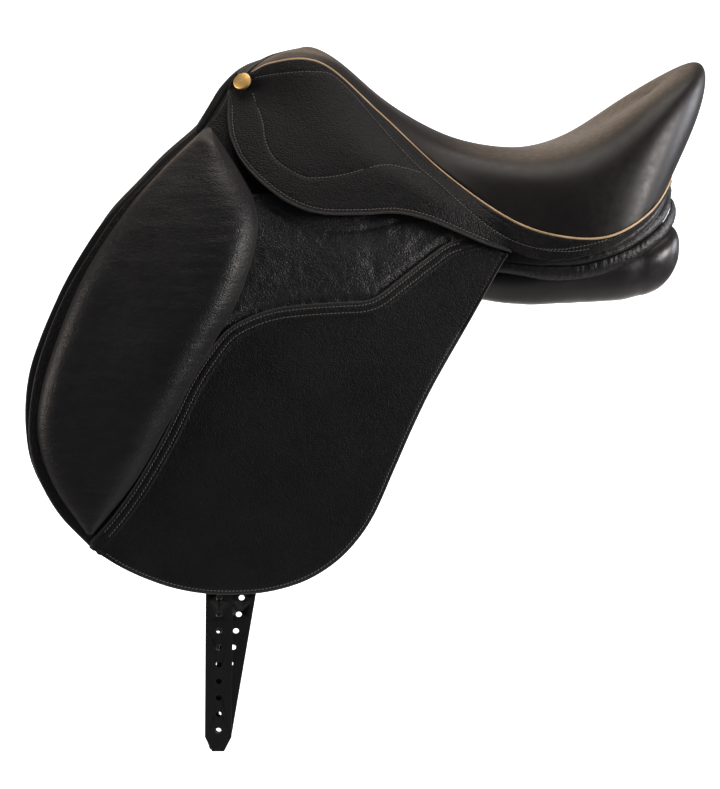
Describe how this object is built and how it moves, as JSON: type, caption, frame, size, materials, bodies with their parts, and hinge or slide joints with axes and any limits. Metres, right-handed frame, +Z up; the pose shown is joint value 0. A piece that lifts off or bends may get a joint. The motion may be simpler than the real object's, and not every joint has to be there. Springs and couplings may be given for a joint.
{
  "type": "dressage saddle",
  "caption": "English dressage saddle with a deep seat, long straight flaps carrying thigh blocks, small skirts over the stirrup bars, wool panels and long girth billets.",
  "frame": {"origin": "on the horse's spine line: X = 0 below the deepest part of the seat, Y = 0 on the centre plane, Z = 0 where the panels bear", "axes": "+X to the cantle, +Z up, the near (left) side on -Y"},
  "size_m": [0.6578, 0.387, 0.6536],
  "materials": {
    "seat_leather": "smooth, softly waxed black leather",
    "smooth_leather": "smooth black leather",
    "grained_leather": "pebbled black leather",
    "soft_leather": "soft fine-grained black leather over padding",
    "panel_leather": "soft black leather over wool stuffing",
    "strap_leather": "dressed black bridle leather, cut edges",
    "piping_leather": "light tan leather over a cord",
    "tree_wood": "laminated beech",
    "foam": "latex foam",
    "web": "woven webbing",
    "steel": "ground spring steel",
    "brass": "polished brass, plain"
  },
  "bodies": {
    "seat": {"tree_head": "tree_wood", "tree_rails": "tree_wood", "tree_cheek_left": "tree_wood", "tree_cheek_right": "tree_wood", "gullet_plate": "steel", "gullet_lining": "smooth_leather", "spring_steel_left": "steel", "spring_steel_right": "steel", "girth_web": "web", "seat_web": "web", "seat_foam": "foam", "seat_cover": "seat_leather", "seat_welt": "piping_leather", "pommel_facing": "smooth_leather", "stud_left": "brass", "stud_right": "brass", "skirt_band_left": "grained_leather", "skirt_band_right": "grained_leather", "flap_margin_left": "grained_leather", "flap_margin_right": "grained_leather", "sweat_flap_left": "smooth_leather", "sweat_flap_right": "smooth_leather", "point_strap_left": "web", "point_strap_right": "web", "web_drop_left": "web", "web_drop_right": "web", "billet_keeper_left": "strap_leather", "billet_keeper_right": "strap_leather", "stirrup_bar_left": "steel", "stirrup_bar_right": "steel", "catch_pin_left": "steel", "catch_pin_right": "steel", "bar_rivets_left": "steel", "bar_rivets_right": "steel", "panel_left": "panel_leather", "panel_right": "panel_leather", "panel_gusset_left": "soft_leather", "panel_gusset_right": "soft_leather", "cantle_facing": "smooth_leather", "panel_bridge": "web"},
    "flap_left": {"flap_left": "grained_leather", "flap_apron_left": "grained_leather", "flap_insert_left": "soft_leather", "thigh_block_left": "soft_leather"},
    "skirt_left": {"skirt_left": "grained_leather"},
    "catch_left": {"stirrup_catch_left": "steel"},
    "billet_front_left": {"billet_front_left": "strap_leather"},
    "billet_rear_left": {"billet_rear_left": "strap_leather"},
    "flap_right": {"flap_right": "grained_leather", "flap_apron_right": "grained_leather", "flap_insert_right": "soft_leather", "thigh_block_right": "soft_leather"},
    "skirt_right": {"skirt_right": "grained_leather"},
    "catch_right": {"stirrup_catch_right": "steel"},
    "billet_front_right": {"billet_front_right": "strap_leather"},
    "billet_rear_right": {"billet_rear_right": "strap_leather"}
  },
  "joints": [
    {"name": "flap_lift_left", "type": "hinge", "parent": "seat", "child": "flap_left", "pos_m": [-0.127, -0.10835, 0.1235], "axis": [-0.8495, 0.2227, 0.4783], "range_deg": [0, 68]},
    {"name": "skirt_lift_left", "type": "hinge", "parent": "flap_left", "child": "skirt_left", "pos_m": [-0.127, -0.10835, 0.1235], "axis": [-0.8495, 0.2227, 0.4783], "range_deg": [0, 66]},
    {"name": "catch_turn_left", "type": "hinge", "parent": "seat", "child": "catch_left", "pos_m": [-0.124, -0.09307, 0.106], "axis": [0, -0.9107, 0.4131], "range_deg": [0, 80]},
    {"name": "billet_front_swing_left", "type": "hinge", "parent": "seat", "child": "billet_front_left", "pos_m": [-0.273, -0.09914, 0.08], "axis": [0, -0.9803, 0.1977], "range_deg": [-5, 5]},
    {"name": "billet_rear_swing_left", "type": "hinge", "parent": "seat", "child": "billet_rear_left", "pos_m": [-0.2, -0.09972, 0.066], "axis": [0, -0.9816, 0.1908], "range_deg": [-5, 0]},
    {"name": "flap_lift_right", "type": "hinge", "parent": "seat", "child": "flap_right", "pos_m": [-0.127, 0.10835, 0.1235], "axis": [0.8495, 0.2227, -0.4783], "range_deg": [0, 68]},
    {"name": "skirt_lift_right", "type": "hinge", "parent": "flap_right", "child": "skirt_right", "pos_m": [-0.127, 0.10835, 0.1235], "axis": [0.8495, 0.2227, -0.4783], "range_deg": [0, 66]},
    {"name": "catch_turn_right", "type": "hinge", "parent": "seat", "child": "catch_right", "pos_m": [-0.124, 0.09307, 0.106], "axis": [0, -0.9107, -0.4131], "range_deg": [0, 80]},
    {"name": "billet_front_swing_right", "type": "hinge", "parent": "seat", "child": "billet_front_right", "pos_m": [-0.273, 0.09914, 0.08], "axis": [0, -0.9803, -0.1977], "range_deg": [-5, 5]},
    {"name": "billet_rear_swing_right", "type": "hinge", "parent": "seat", "child": "billet_rear_right", "pos_m": [-0.2, 0.09972, 0.066], "axis": [0, -0.9816, -0.1908], "range_deg": [-5, 0]}
  ]
}
